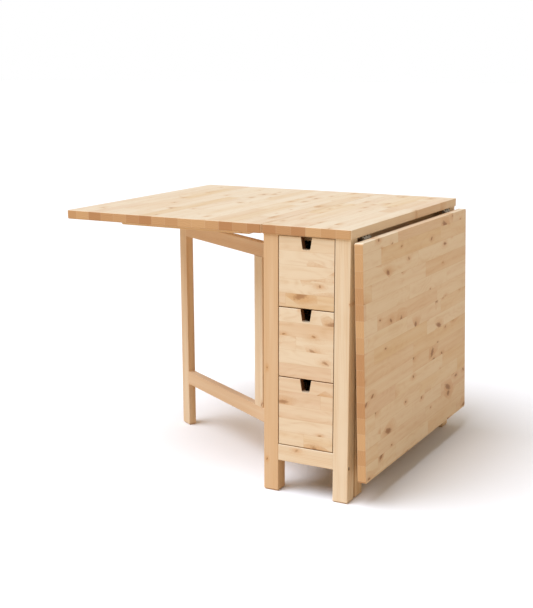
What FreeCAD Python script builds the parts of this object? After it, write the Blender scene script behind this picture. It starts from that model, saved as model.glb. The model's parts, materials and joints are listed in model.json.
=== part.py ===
"""Drop leaf table: a narrow carcass with drawers at both ends, two hinged leaves and two gates.

Millimetres, +Z up. The carcass is modelled about its own centre, X across its width and Y along
its length, and the finished table is then moved so that the origin is at the bottom centre of
the box around it. Rest pose: the left leaf is up on its swung-out gate, the right leaf hangs.
"""
import FreeCAD
import Part

import math
import os

from FreeCAD import Placement, Rotation, Vector

# Driving dimensions of the tops
HEIGHT = 740.0
LENGTH = 800.0
TOP_WIDTH = 260.0
LEAF_LENGTH = 640.0
TOP_THICKNESS = 25.0
LEAF_GAP = 1.0
UPPER_ROUND = 1.5
LOWER_ROUND = 3.0
CORNER_ROUND = 6.0
HANG_ANGLE = 88.15

# Carcass
POST_X = 44.0
POST_Y = 42.0
POST_OUTER_X = 126.5
POST_OUTER_Y = 395.0
PANEL_THICKNESS = 14.0
APRON_BOTTOM = 91.0
STOCK_ROUND = 2.0
FOOT_CHAMFER = 4.0
BAR_WIDTH = 40.0
BAR_HEIGHT = 18.0
BAR_OUTER_Y = 350.0

# Drawers
DRAWER_PITCH = 192.1
DRAWER_GAP = 2.6
RAIL_TOP = 136.7
RAIL_THICKNESS = 16.0
FRONT_SETBACK = 1.0
FRONT_SIDE_GAP = 1.5
FRONT_THICKNESS = 18.0
FRONT_ROUND = 1.5
NOTCH_TOP_WIDTH = 33.0
NOTCH_BOTTOM_WIDTH = 22.0
NOTCH_DEPTH = 34.0
NOTCH_ROUND = 6.0
BOX_HALF_WIDTH = 77.0
BOX_WALL = 12.0
BOX_LIFT = 10.0
BOX_HEIGHT = 140.0
BOX_END = 22.0
PLY = 4.0
GROOVE_LIFT = 8.0
GROOVE_DEPTH = 5.0
GROOVE_PLAY = 0.2
RUNNER_WIDTH = 12.0
RUNNER_HEIGHT = 14.0
RUNNER_PLAY = 0.4
DRAWER_LEVELS = ("lower", "middle", "upper")

# Gates
GATE_THICKNESS = 24.5
GATE_LEG_WIDTH = 44.0
GATE_REACH = 623.7
GATE_CLEAR_OPENING = 421.0
GATE_RAIL_HEIGHT = 41.5
GATE_RAIL_BOTTOMS = (139.5, 622.5)
GATE_RAIL_TAIL = 3.0
GATE_PIVOT_Y = -281.0
GATE_OPEN_ANGLE = 59.5
REST_CLEARANCE = 0.3

# Hinges. Both kinds are steel butt hinges with five knuckles on one pin.
KNUCKLES = 5
KNUCKLE_GAP = 0.4
PIN_PLAY = 0.05
LEAF_HINGE = {"length": 46.0, "width": 28.0, "knuckle": 4.5, "pin": 2.0, "plate": 2.0}
GATE_HINGE = {"length": 38.0, "width": 24.0, "knuckle": 2.4, "pin": 1.2, "plate": 1.5}
LEAF_HINGE_Y = (284.0, -330.0)
PLATE_ROUND = 0.3

# Countersunk screws. A hinge's screws sit at shares of its width and its length.
SCREW_RADIUS = 1.6
SCREW_HEAD_RADIUS = 3.1
SCREW_HEAD_DEPTH = 1.4
LEAF_HINGE_SCREW = 16.0
LEAF_HINGE_SCREW_PLACES = ((0.42, 0.18), (0.74, 0.5), (0.42, 0.82))
GATE_HINGE_SCREW = 12.0
GATE_HINGE_SCREW_PLACES = ((0.6, 0.2), (0.6, 0.8))
BAR_SCREW_BITE = 14.0
CLEAT_SCREW_BITE = 12.0
CLEAT_SCREW_SHARES = (0.15, 0.85)

# Leaf battens
CLEAT_START = 54.0
CLEAT_END = 482.0
CLEAT_WIDTH = 30.0
CLEAT_THICKNESS = 11.5
CLEAT_SETBACK = 42.0
CLEAT_BEVEL = 8.0
PAD_SIZE = 80.0
STOP_THICKNESS = 14.0
STOP_WIDTH = 34.0
STOP_HEIGHT = 15.5
STOP_LET_IN = 10.5

# Frame bolts
BOLT_RADIUS = 3.0
BOLT_HEAD_RADIUS = 5.0
BOLT_HEAD_HEIGHT = 4.0
HEX_SOCKET_RADIUS = 2.3
BOLT_Z = 99.0
BOLT_COUNTERBORE = 6.0
BOLT_END_X = 55.0
HOLE_PLAY = 0.3
NUT_X = 62.0
NUT_RADIUS = 5.0
NUT_LENGTH = 15.0

# A cutting tool stands this far past the face that it opens, and joined pieces overlap as far.
OVERCUT = 1.0
# How near a length or a direction counts as the same.
NEAR = 0.01
PARALLEL = 0.999

# Derived places
UNDERSIDE = HEIGHT - TOP_THICKNESS
POST_INNER_X = POST_OUTER_X - POST_X
POST_INNER_Y = POST_OUTER_Y - POST_Y
PANEL_FACE = POST_INNER_X + PANEL_THICKNESS
FRONT_FACE_Y = POST_OUTER_Y - FRONT_SETBACK
FRONT_BACK_Y = FRONT_FACE_Y - FRONT_THICKNESS
FRONT_HEIGHT = DRAWER_PITCH - DRAWER_GAP
PIVOT_DROP = LEAF_HINGE["knuckle"] + LEAF_HINGE["plate"]
LEAF_PIVOT = Vector(-(TOP_WIDTH + LEAF_GAP) / 2, 0, UNDERSIDE - PIVOT_DROP)
GATE_OUTER_X = POST_OUTER_X
GATE_INNER_X = GATE_OUTER_X - GATE_THICKNESS
GATE_PIVOT = Vector(-(PANEL_FACE + GATE_INNER_X) / 2, GATE_PIVOT_Y, 0)
GATE_STANDOFF = (GATE_INNER_X - PANEL_FACE) / 2
PAD_BOTTOM = UNDERSIDE - CLEAT_THICKNESS
LEG_TOP = PAD_BOTTOM - REST_CLEARANCE
Z_AXIS = Vector(0, 0, 1)
Y_AXIS = Vector(0, 1, 0)
X_AXIS = Vector(1, 0, 0)


def block(x, y, z):
    """A box from three (low, high) pairs, in any order."""
    low = Vector(min(x), min(y), min(z))
    return Part.makeBox(max(x) - low.x, max(y) - low.y, max(z) - low.z, low)


def edges_along(shape, axis):
    """The straight edges of a shape that run along an axis."""
    found = []
    for edge in shape.Edges:
        ends = [vertex.Point for vertex in edge.Vertexes]
        if len(ends) == 2:
            run = ends[1].sub(ends[0])
            if run.Length > 0 and abs(run.normalize().dot(axis)) > PARALLEL:
                found.append(edge)
    return found


def eased(shape, radius, axis):
    """A stick of timber with the arrises along one axis rounded."""
    return shape.makeFillet(radius, edges_along(shape, axis))


def standing_stick(stick):
    """A leg with rounded arrises and its foot chamfered all round."""
    foot = [edge for edge in stick.Edges if edge.BoundBox.ZMax < NEAR]
    return eased(stick.makeChamfer(FOOT_CHAMFER, foot), STOCK_ROUND, Z_AXIS)


def half_turn(shape):
    """The same piece on the other side of the table: half a turn about the vertical."""
    copy = shape.copy()
    copy.rotate(Vector(0, 0, 0), Z_AXIS, 180)
    return copy


def turned(shape, centre, axis, degrees):
    copy = shape.copy()
    copy.rotate(centre, axis, degrees)
    return copy


def with_half_turns(shapes):
    return shapes + [half_turn(shape) for shape in shapes]


def rounded_board(x, y):
    """A top board with rounded corners, its upper edge eased less than its lower one."""
    board = eased(block(x, y, (UNDERSIDE, HEIGHT)), CORNER_ROUND, Z_AXIS)
    upper = [edge for edge in board.Edges if edge.BoundBox.ZMin > HEIGHT - NEAR]
    board = board.makeFillet(UPPER_ROUND, upper)
    lower = [edge for edge in board.Edges if edge.BoundBox.ZMax < UNDERSIDE + NEAR]
    return board.makeFillet(LOWER_ROUND, lower)


# Tops


def centre_top():
    half = TOP_WIDTH / 2
    return rounded_board((-half, half), (-LENGTH / 2, LENGTH / 2))


def left_leaf():
    near = -TOP_WIDTH / 2 - LEAF_GAP
    return rounded_board((near - LEAF_LENGTH, near), (-LENGTH / 2, LENGTH / 2))


# Screws and bolts


def screw(length):
    """A countersunk screw with its head's face at z = 0 and its tip towards +Z."""
    head = Part.makeCone(SCREW_HEAD_RADIUS, SCREW_RADIUS, SCREW_HEAD_DEPTH)
    tip_length = 2 * SCREW_RADIUS
    straight = length - tip_length
    shank = Part.makeCylinder(SCREW_RADIUS, straight)
    tip = Part.makeCone(SCREW_RADIUS, SCREW_RADIUS / 8, tip_length, Vector(0, 0, straight))
    return head.fuse([shank, tip]).removeSplitter()


def frame_bolt():
    """The bolt through the front right post into the bottom rail's end."""
    seat = POST_OUTER_X - BOLT_COUNTERBORE
    at = Vector(seat, -bolt_y(), BOLT_Z)
    head = Part.makeCylinder(BOLT_HEAD_RADIUS, BOLT_HEAD_HEIGHT, at, X_AXIS)
    shank = Part.makeCylinder(BOLT_RADIUS, seat - BOLT_END_X, at, X_AXIS.negative())
    corners = []
    for step in range(7):
        angle = math.radians(60 * step)
        across = HEX_SOCKET_RADIUS * math.cos(angle)
        up = HEX_SOCKET_RADIUS * math.sin(angle)
        corners.append(at + Vector(BOLT_HEAD_HEIGHT, across, up))
    socket = Part.Face(Part.makePolygon(corners)).extrude(Vector(-BOLT_HEAD_HEIGHT / 2, 0, 0))
    return head.fuse(shank).cut(socket).removeSplitter()


def barrel_nut():
    base = Vector(NUT_X, -bolt_y(), BOLT_Z - NUT_LENGTH / 2)
    nut = Part.makeCylinder(NUT_RADIUS, NUT_LENGTH, base)
    across = Vector(NUT_X - 2 * NUT_RADIUS, base.y, BOLT_Z)
    return nut.cut(Part.makeCylinder(BOLT_RADIUS + PIN_PLAY, 4 * NUT_RADIUS, across, X_AXIS))


def bolt_y():
    return FRONT_FACE_Y - RAIL_THICKNESS / 2


def four_corners(shape):
    """A piece of the front right corner, mirrored to all four corners."""
    across = shape.mirror(Vector(0, 0, 0), X_AXIS)
    return with_half_turns([shape, across])


# Carcass


def front_right_post():
    x = (POST_INNER_X, POST_OUTER_X)
    post = standing_stick(block(x, (-POST_OUTER_Y, -POST_INNER_Y), (0, UNDERSIDE)))
    at = Vector(POST_INNER_X - OVERCUT, -bolt_y(), BOLT_Z)
    bore = Part.makeCylinder(BOLT_RADIUS + HOLE_PLAY, POST_X + 2 * OVERCUT, at, X_AXIS)
    mouth = Vector(POST_OUTER_X - BOLT_COUNTERBORE, at.y, at.z)
    counterbore = Part.makeCylinder(BOLT_HEAD_RADIUS + HOLE_PLAY, POST_X, mouth, X_AXIS)
    return post.cut([bore, counterbore])


def right_side_panel():
    y = (-POST_INNER_Y, POST_INNER_Y)
    return block((POST_INNER_X, PANEL_FACE), y, (APRON_BOTTOM, UNDERSIDE))


def centre_divider():
    x = (-POST_INNER_X, POST_INNER_X)
    y = (-PANEL_THICKNESS / 2, PANEL_THICKNESS / 2)
    return block(x, y, (APRON_BOTTOM, UNDERSIDE))


def front_bottom_rail():
    x = (-POST_INNER_X, POST_INNER_X)
    y = (-FRONT_FACE_Y, -FRONT_FACE_Y + RAIL_THICKNESS)
    rail = eased(block(x, y, (APRON_BOTTOM, RAIL_TOP)), FRONT_ROUND, X_AXIS)
    bores = []
    for side in (-1, 1):
        end = Vector(side * (POST_INNER_X + OVERCUT), -bolt_y(), BOLT_Z)
        depth = POST_INNER_X - BOLT_END_X + 3 * OVERCUT
        bores.append(Part.makeCylinder(BOLT_RADIUS + HOLE_PLAY, depth, end, X_AXIS * -side))
        base = Vector(side * NUT_X, -bolt_y(), APRON_BOTTOM - OVERCUT)
        top = BOLT_Z + NUT_LENGTH / 2 + HOLE_PLAY
        bores.append(Part.makeCylinder(NUT_RADIUS + PIN_PLAY, top - base.z, base))
    return rail.cut(bores)


def front_cross_bar():
    x = (-POST_INNER_X, POST_INNER_X)
    return block(x, (-BAR_OUTER_Y, -BAR_OUTER_Y + BAR_WIDTH), (UNDERSIDE - BAR_HEIGHT, UNDERSIDE))


def cross_bar_screws():
    """Two screws up through the front cross bar into the centre top."""
    screws = []
    for side in (-1, 1):
        at = Vector(side * POST_INNER_X / 2, -BAR_OUTER_Y + BAR_WIDTH / 2, UNDERSIDE - BAR_HEIGHT)
        long_screw = screw(BAR_HEIGHT + BAR_SCREW_BITE)
        long_screw.translate(at)
        screws.append(long_screw)
    return screws


# Drawers, built for the front end


def front_bottom(level):
    return RAIL_TOP + DRAWER_GAP + level * DRAWER_PITCH


def drawer_front(level):
    low = front_bottom(level)
    high = low + FRONT_HEIGHT
    half = POST_INNER_X - FRONT_SIDE_GAP
    board = block((-half, half), (-FRONT_FACE_Y, -FRONT_BACK_Y), (low, high))
    board = board.makeFillet(FRONT_ROUND, board.Edges)
    board = board.cut(finger_notch(high))
    groove = bottom_groove(level)
    return board.cut(block((-groove_reach(), groove_reach()),
                           (-FRONT_BACK_Y - GROOVE_DEPTH, -FRONT_BACK_Y + OVERCUT), groove))


def finger_notch(top):
    """A tapered finger notch with rounded lower corners, open at the top edge of the front."""
    upper = NOTCH_TOP_WIDTH / 2
    lower = NOTCH_BOTTOM_WIDTH / 2
    slope = (upper - lower) / NOTCH_DEPTH
    rise = 2 * OVERCUT
    y = -FRONT_FACE_Y - OVERCUT
    outline = [Vector(-upper - slope * rise, y, top + rise), Vector(-lower, y, top - NOTCH_DEPTH),
               Vector(lower, y, top - NOTCH_DEPTH), Vector(upper + slope * rise, y, top + rise)]
    face = Part.Face(Part.makePolygon(outline + outline[:1]))
    notch = face.extrude(Vector(0, FRONT_THICKNESS + 2 * OVERCUT, 0))
    floor = [edge for edge in edges_along(notch, Y_AXIS) if edge.BoundBox.ZMax < top - rise]
    return notch.makeFillet(NOTCH_ROUND, floor)


def box_bottom(level):
    return front_bottom(level) + BOX_LIFT


def bottom_groove(level):
    low = box_bottom(level) + GROOVE_LIFT
    return (low, low + PLY + GROOVE_PLAY)


def groove_reach():
    return BOX_HALF_WIDTH - BOX_WALL + GROOVE_DEPTH


def drawer_sides(level):
    z = (box_bottom(level), box_bottom(level) + BOX_HEIGHT)
    inner = BOX_HALF_WIDTH - BOX_WALL
    y = (-FRONT_BACK_Y, -BOX_END)
    side = eased(block((inner, BOX_HALF_WIDTH), y, z), FRONT_ROUND, Y_AXIS)
    groove_y = (y[0] - OVERCUT, y[1] + OVERCUT)
    side = side.cut(block((inner - OVERCUT, groove_reach()), groove_y, bottom_groove(level)))
    return [side, side.mirror(Vector(0, 0, 0), X_AXIS)]


def drawer_back(level):
    inner = BOX_HALF_WIDTH - BOX_WALL
    z = (bottom_groove(level)[1], box_bottom(level) + BOX_HEIGHT)
    return eased(block((-inner, inner), (-BOX_END - BOX_WALL, -BOX_END), z), FRONT_ROUND, X_AXIS)


def drawer_bottom(level):
    low = bottom_groove(level)[0]
    reach = groove_reach() - GROOVE_PLAY
    y = (-FRONT_BACK_Y - GROOVE_DEPTH + GROOVE_PLAY, -BOX_END)
    return block((-reach, reach), y, (low, low + PLY))


def drawer_runners(level):
    """The two strips on the side panels that one front drawer slides on."""
    high = box_bottom(level) - RUNNER_PLAY
    y = (-FRONT_BACK_Y + RUNNER_PLAY, -PANEL_THICKNESS / 2)
    strip = block((POST_INNER_X - RUNNER_WIDTH, POST_INNER_X), y, (high - RUNNER_HEIGHT, high))
    return [strip, strip.mirror(Vector(0, 0, 0), X_AXIS)]


# Hinges. A half is made with its pin along Z, its plate towards +X and the wood on its +Y side.


def knuckle_spans(hinge, first):
    """The heights of every second knuckle, starting with number first."""
    pitch = (hinge["length"] + KNUCKLE_GAP) / KNUCKLES
    return [(number * pitch, (number + 1) * pitch - KNUCKLE_GAP)
            for number in range(first, KNUCKLES, 2)]


def hinge_half(hinge, plate_y, web_y, first, screws):
    """A plate with its knuckles, drilled for its screws."""
    edge = hinge["knuckle"] + KNUCKLE_GAP
    plate = eased(block((edge, hinge["width"]), plate_y, (0, hinge["length"])), PLATE_ROUND, Z_AXIS)
    pieces = []
    for low, high in knuckle_spans(hinge, first):
        pieces.append(block((0, edge + OVERCUT), web_y, (low, high)))
        pieces.append(Part.makeCylinder(hinge["knuckle"], high - low, Vector(0, 0, low)))
    bore = Part.makeCylinder(hinge["pin"] + PIN_PLAY, hinge["length"])
    return plate.fuse(pieces).cut([bore] + screws).removeSplitter()


def hinge_screws(hinge, exposed_face, length, places):
    """Screws through a plate into the wood, head flush with the plate's exposed face."""
    screws = []
    for across, along in places:
        one = screw(length)
        one.rotate(Vector(0, 0, 0), X_AXIS, -90)
        one.translate(Vector(across * hinge["width"], exposed_face, along * hinge["length"]))
        screws.append(one)
    return screws


def leaf_hinge():
    """The moving half, the fixed half, their screws and the pin, for a leaf that is level."""
    plate_y = (LEAF_HINGE["knuckle"], PIVOT_DROP)
    moving_screws = hinge_screws(LEAF_HINGE, plate_y[0], LEAF_HINGE_SCREW,
                                 LEAF_HINGE_SCREW_PLACES)
    moving = hinge_half(LEAF_HINGE, plate_y, (0, PIVOT_DROP), 1, moving_screws)
    fixed = hinge_half(LEAF_HINGE, plate_y, (0, PIVOT_DROP), 0, moving_screws)
    fixed = fixed.mirror(Vector(0, 0, 0), X_AXIS)
    fixed_screws = [one.mirror(Vector(0, 0, 0), X_AXIS) for one in moving_screws]
    return moving, fixed, moving_screws, fixed_screws, hinge_pin(LEAF_HINGE)


def gate_hinge():
    """The same for a stowed gate, whose two plates then face each other."""
    plate_y = (GATE_STANDOFF - GATE_HINGE["plate"], GATE_STANDOFF)
    moving_screws = hinge_screws(GATE_HINGE, plate_y[0], GATE_HINGE_SCREW,
                                 GATE_HINGE_SCREW_PLACES)
    moving = hinge_half(GATE_HINGE, plate_y, plate_y, 1, moving_screws)
    fixed = hinge_half(GATE_HINGE, plate_y, plate_y, 0, moving_screws)
    fixed = fixed.mirror(Vector(0, 0, 0), Y_AXIS)
    fixed_screws = [one.mirror(Vector(0, 0, 0), Y_AXIS) for one in moving_screws]
    return moving, fixed, moving_screws, fixed_screws, hinge_pin(GATE_HINGE)


def hinge_pin(hinge):
    return Part.makeCylinder(hinge["pin"], hinge["length"])


def placed(shapes, placement):
    result = []
    for shape in shapes:
        copy = shape.copy()
        copy.Placement = placement.multiply(copy.Placement)
        result.append(copy)
    return result


def place_hinge(parts, placement):
    moving, fixed, moving_screws, fixed_screws, pin = parts
    return {
        "moving": placed([moving], placement),
        "fixed": placed([fixed], placement),
        "moving_screws": placed(moving_screws, placement),
        "fixed_screws": placed(fixed_screws, placement),
        "pins": placed([pin], placement),
    }


def joined(groups):
    """Several hinges' pieces, gathered by kind."""
    return {kind: sum((group[kind] for group in groups), []) for kind in groups[0]}


def left_leaf_hinges():
    """Pin along +Y, moving plate towards -X, wood above."""
    frame = Rotation(Vector(-1, 0, 0), Vector(0, 0, 1), Vector(0, 1, 0), "ZXY")
    groups = []
    for y in LEAF_HINGE_Y:
        at = Vector(LEAF_PIVOT.x, y, LEAF_PIVOT.z)
        groups.append(place_hinge(leaf_hinge(), Placement(at, frame)))
    return joined(groups)


def left_gate_hinges():
    """Pin along +Z, plates towards +Y, the gate on the -X side."""
    frame = Rotation(Z_AXIS, 90)
    groups = []
    for bottom in GATE_RAIL_BOTTOMS:
        low = bottom + (GATE_RAIL_HEIGHT - GATE_HINGE["length"]) / 2
        at = Vector(GATE_PIVOT.x, GATE_PIVOT.y, low)
        groups.append(place_hinge(gate_hinge(), Placement(at, frame)))
    return joined(groups)


# Battens under the left leaf, with the leaf level


def leaf_cleat(side):
    """A batten along X near one end of the leaf, with bevelled ends."""
    x = (LEAF_PIVOT.x - CLEAT_END, LEAF_PIVOT.x - CLEAT_START)
    outer = LENGTH / 2 - CLEAT_SETBACK
    y = (side * outer, side * (outer - CLEAT_WIDTH))
    cleat = block(x, y, (PAD_BOTTOM, UNDERSIDE))
    glued = UNDERSIDE - NEAR
    ends = [edge for edge in edges_along(cleat, Y_AXIS) if edge.BoundBox.ZMax < glued]
    cleat = cleat.makeChamfer(CLEAT_BEVEL, ends)
    arrises = [edge for edge in edges_along(cleat, X_AXIS) if edge.BoundBox.ZMax < glued]
    return cleat.makeFillet(STOCK_ROUND, arrises)


def gate_place(along, out, height):
    """A place on the left gate when it is open, from its place along and out from the pivot."""
    stowed = Vector(GATE_PIVOT.x - out, GATE_PIVOT.y + along, height)
    return turned(Part.Vertex(stowed), GATE_PIVOT, Z_AXIS, GATE_OPEN_ANGLE).Point


def rest_pad():
    """The pad that the open gate's leg stands under, with the stop that the leg comes up against."""
    middle = gate_place(GATE_REACH - GATE_LEG_WIDTH / 2, GATE_STANDOFF + GATE_THICKNESS / 2, 0)
    half = PAD_SIZE / 2
    pad = block((middle.x - half, middle.x + half), (middle.y - half, middle.y + half),
                (PAD_BOTTOM, UNDERSIDE))
    face = GATE_STANDOFF + GATE_THICKNESS + REST_CLEARANCE
    centre = GATE_REACH - GATE_LEG_WIDTH / 2
    stop = block((GATE_PIVOT.x - face - STOP_THICKNESS, GATE_PIVOT.x - face),
                 (GATE_PIVOT.y + centre - STOP_WIDTH / 2, GATE_PIVOT.y + centre + STOP_WIDTH / 2),
                 (PAD_BOTTOM - STOP_HEIGHT, PAD_BOTTOM + STOP_LET_IN))
    return pad.fuse(turned(stop, GATE_PIVOT, Z_AXIS, GATE_OPEN_ANGLE)).removeSplitter()


def batten_screws():
    """Two countersunk screws up through each cleat."""
    screws = []
    for side in (-1, 1):
        for share in CLEAT_SCREW_SHARES:
            x = LEAF_PIVOT.x - CLEAT_START - share * (CLEAT_END - CLEAT_START)
            y = side * (LENGTH / 2 - CLEAT_SETBACK - CLEAT_WIDTH / 2)
            one = screw(CLEAT_THICKNESS + CLEAT_SCREW_BITE)
            one.translate(Vector(x, y, PAD_BOTTOM))
            screws.append(one)
    return screws


# Left gate, stowed along the carcass side


def gate_x():
    return (-GATE_OUTER_X, -GATE_INNER_X)


def gate_leg():
    y = (GATE_PIVOT_Y + GATE_REACH - GATE_LEG_WIDTH, GATE_PIVOT_Y + GATE_REACH)
    return standing_stick(block(gate_x(), y, (0, LEG_TOP)))


def gate_stile():
    high = GATE_PIVOT_Y + GATE_REACH - GATE_LEG_WIDTH - GATE_CLEAR_OPENING
    z = (GATE_RAIL_BOTTOMS[0] + GATE_RAIL_HEIGHT, GATE_RAIL_BOTTOMS[1])
    return eased(block(gate_x(), (high - GATE_LEG_WIDTH, high), z), STOCK_ROUND, Z_AXIS)


def gate_rail(bottom):
    y = (GATE_PIVOT_Y - GATE_RAIL_TAIL, GATE_PIVOT_Y + GATE_REACH - GATE_LEG_WIDTH)
    return eased(block(gate_x(), y, (bottom, bottom + GATE_RAIL_HEIGHT)), STOCK_ROUND, Y_AXIS)


# Assembly


def cut_for_screws(board, screws):
    """A board with the holes that its screws have bitten into it."""
    return board.cut(screws)


def carcass_nodes(leaf_hinges, gate_hinges):
    """Every piece that stays still."""
    right_post = front_right_post()
    left_post = right_post.mirror(Vector(0, 0, 0), X_AXIS)
    panel = right_side_panel()
    bars = with_half_turns([front_cross_bar()])
    fixed_screws = with_half_turns(leaf_hinges["fixed_screws"] + gate_hinges["fixed_screws"]
                                   + cross_bar_screws())
    runners = []
    for level in range(len(DRAWER_LEVELS)):
        runners += drawer_runners(level)
    return {
        "centre_top": [cut_for_screws(centre_top(), fixed_screws)],
        "front_right_post": [right_post],
        "front_left_post": [left_post],
        "back_left_post": [half_turn(right_post)],
        "back_right_post": [half_turn(left_post)],
        "right_side_panel": [cut_for_screws(panel, fixed_screws)],
        "left_side_panel": [cut_for_screws(half_turn(panel), fixed_screws)],
        "centre_divider": [centre_divider()],
        "bottom_rails": with_half_turns([front_bottom_rail()]),
        "top_cross_bars": [cut_for_screws(bar, fixed_screws) for bar in bars],
        "drawer_runners": with_half_turns(runners),
        "frame_bolts": four_corners(frame_bolt()),
        "barrel_nuts": four_corners(barrel_nut()),
        "fixed_hinge_plates": with_half_turns(leaf_hinges["fixed"] + gate_hinges["fixed"]),
        "hinge_pins": with_half_turns(leaf_hinges["pins"] + gate_hinges["pins"]),
        "carcass_screws": fixed_screws,
    }


def leaf_nodes(hinges):
    """The pieces that move with the left leaf, with the leaf level."""
    screws = hinges["moving_screws"] + batten_screws()
    battens = [leaf_cleat(-1), leaf_cleat(1), rest_pad()]
    return {
        "leaf": [cut_for_screws(left_leaf(), screws)],
        "leaf_battens": [cut_for_screws(batten, screws) for batten in battens],
        "leaf_hinge_plates": hinges["moving"],
        "leaf_screws": screws,
    }


def gate_nodes(hinges):
    """The pieces that move with the left gate, with the gate stowed."""
    screws = hinges["moving_screws"]
    low, high = GATE_RAIL_BOTTOMS
    return {
        "gate_leg": [gate_leg()],
        "gate_stile": [gate_stile()],
        "gate_top_rail": [cut_for_screws(gate_rail(high), screws)],
        "gate_bottom_rail": [cut_for_screws(gate_rail(low), screws)],
        "gate_hinge_plates": hinges["moving"],
        "gate_screws": screws,
    }


def drawer_nodes():
    nodes = {}
    for level, word in enumerate(DRAWER_LEVELS):
        pieces = {
            "front": [drawer_front(level)],
            "sides": drawer_sides(level),
            "back": [drawer_back(level)],
            "bottom": [drawer_bottom(level)],
        }
        for piece, shapes in pieces.items():
            nodes[f"front_{word}_drawer_{piece}"] = shapes
            nodes[f"back_{word}_drawer_{piece}"] = [half_turn(shape) for shape in shapes]
    return nodes


def table_nodes():
    """All sub-parts in the rest pose, about the carcass's centre."""
    leaf_hinges = left_leaf_hinges()
    gate_hinges = left_gate_hinges()
    nodes = carcass_nodes(leaf_hinges, gate_hinges)
    nodes.update(drawer_nodes())
    right_pivot = half_turn(Part.Vertex(LEAF_PIVOT)).Point
    for name, shapes in leaf_nodes(leaf_hinges).items():
        nodes["left_" + name] = shapes
        others = [half_turn(shape) for shape in shapes]
        nodes["right_" + name] = [turned(one, right_pivot, Y_AXIS, HANG_ANGLE) for one in others]
    for name, shapes in gate_nodes(gate_hinges).items():
        nodes["left_" + name] = [turned(one, GATE_PIVOT, Z_AXIS, GATE_OPEN_ANGLE) for one in shapes]
        nodes["right_" + name] = [half_turn(shape) for shape in shapes]
    return nodes


def main():
    os.makedirs("parts", exist_ok=True)
    nodes = table_nodes()
    whole = Part.makeCompound(sum(nodes.values(), [])).optimalBoundingBox(False)
    to_origin = Vector(-(whole.XMin + whole.XMax) / 2, -(whole.YMin + whole.YMax) / 2, -whole.ZMin)
    print("carcass centre from the origin:", round(to_origin.x, 3), round(to_origin.y, 3))
    for name, shapes in nodes.items():
        for shape in shapes:
            shape.translate(to_origin)
            if not shape.isValid() or shape.Volume <= 0 or len(shape.Solids) != 1:
                print("check", name, shape.isValid(), round(shape.Volume), len(shape.Solids))
        solids = [solid for shape in shapes for solid in shape.Solids]
        body = solids[0] if len(solids) == 1 else Part.makeCompound(solids)
        body.exportStep(f"parts/{name}.step")
    print(len(nodes), "nodes,", sum(len(shapes) for shapes in nodes.values()), "solids")


main()
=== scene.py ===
import json
import math

import bmesh
import bpy
import numpy as np
from mathutils import Matrix, Vector

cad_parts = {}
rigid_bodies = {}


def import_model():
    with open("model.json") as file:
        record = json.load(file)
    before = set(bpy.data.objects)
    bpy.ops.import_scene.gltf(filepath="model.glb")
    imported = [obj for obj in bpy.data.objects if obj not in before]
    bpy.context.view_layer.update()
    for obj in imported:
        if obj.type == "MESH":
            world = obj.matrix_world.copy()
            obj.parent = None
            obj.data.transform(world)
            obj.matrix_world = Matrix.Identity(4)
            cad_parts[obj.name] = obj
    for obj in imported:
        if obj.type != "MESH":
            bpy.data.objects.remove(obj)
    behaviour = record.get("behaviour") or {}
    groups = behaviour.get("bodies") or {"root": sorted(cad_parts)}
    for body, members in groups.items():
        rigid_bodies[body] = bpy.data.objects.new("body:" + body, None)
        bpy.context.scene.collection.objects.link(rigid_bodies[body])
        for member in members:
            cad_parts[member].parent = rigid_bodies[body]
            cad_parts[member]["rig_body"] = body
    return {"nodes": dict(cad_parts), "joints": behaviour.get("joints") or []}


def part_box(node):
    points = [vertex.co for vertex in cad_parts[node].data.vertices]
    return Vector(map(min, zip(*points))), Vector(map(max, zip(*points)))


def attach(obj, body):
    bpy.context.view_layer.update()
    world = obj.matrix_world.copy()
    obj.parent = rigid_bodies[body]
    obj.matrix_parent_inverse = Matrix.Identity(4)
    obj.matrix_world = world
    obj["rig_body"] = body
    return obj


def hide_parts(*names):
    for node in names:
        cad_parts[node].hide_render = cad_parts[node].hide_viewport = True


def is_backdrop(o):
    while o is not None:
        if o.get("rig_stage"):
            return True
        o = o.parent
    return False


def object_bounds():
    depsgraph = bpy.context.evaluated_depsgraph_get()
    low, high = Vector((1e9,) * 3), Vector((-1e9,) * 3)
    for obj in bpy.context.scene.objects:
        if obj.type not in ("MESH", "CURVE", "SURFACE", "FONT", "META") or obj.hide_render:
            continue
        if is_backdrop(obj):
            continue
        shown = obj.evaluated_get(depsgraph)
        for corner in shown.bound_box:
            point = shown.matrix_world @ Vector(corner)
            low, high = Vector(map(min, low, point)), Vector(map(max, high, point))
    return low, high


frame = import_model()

cad_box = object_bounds()
nodes = frame["nodes"]
joints = {joint["name"]: joint for joint in frame["joints"]}


# --- Tops -------------------------------------------------------------------------------------
# The centre top and the two leaves are solid birch, glued up from staves that run along the
# table and are butted end to end, then sanded and given a clear satin lacquer. Their small
# brown knots are left in, and the staves' ends show as darker blocks at the front and back.

STAVE_WIDTH = 0.0433
TOP_STAVE_LENGTH = 0.38
SCREEN_GAMMA = 2.2


def tint(red, green, blue):
    """A colour given as display values from 0 to 255, as the linear colour that shaders take."""
    return tuple((value / 255) ** SCREEN_GAMMA for value in (red, green, blue)) + (1.0,)


def add(tree, kind, inputs=None, **settings):
    """Adds a node to a tree. Each input gets a value, or a link if it is given a socket."""
    made = tree.nodes.new(kind)
    for name, value in settings.items():
        setattr(made, name, value)
    for place, value in (inputs or {}).items():
        if isinstance(value, bpy.types.NodeSocket):
            tree.links.new(value, made.inputs[place])
        else:
            made.inputs[place].default_value = value
    return made


def calc(tree, operation, *values):
    """One sum on numbers or sockets."""
    return add(tree, "ShaderNodeMath", dict(enumerate(values)), operation=operation).outputs[0]


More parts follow.
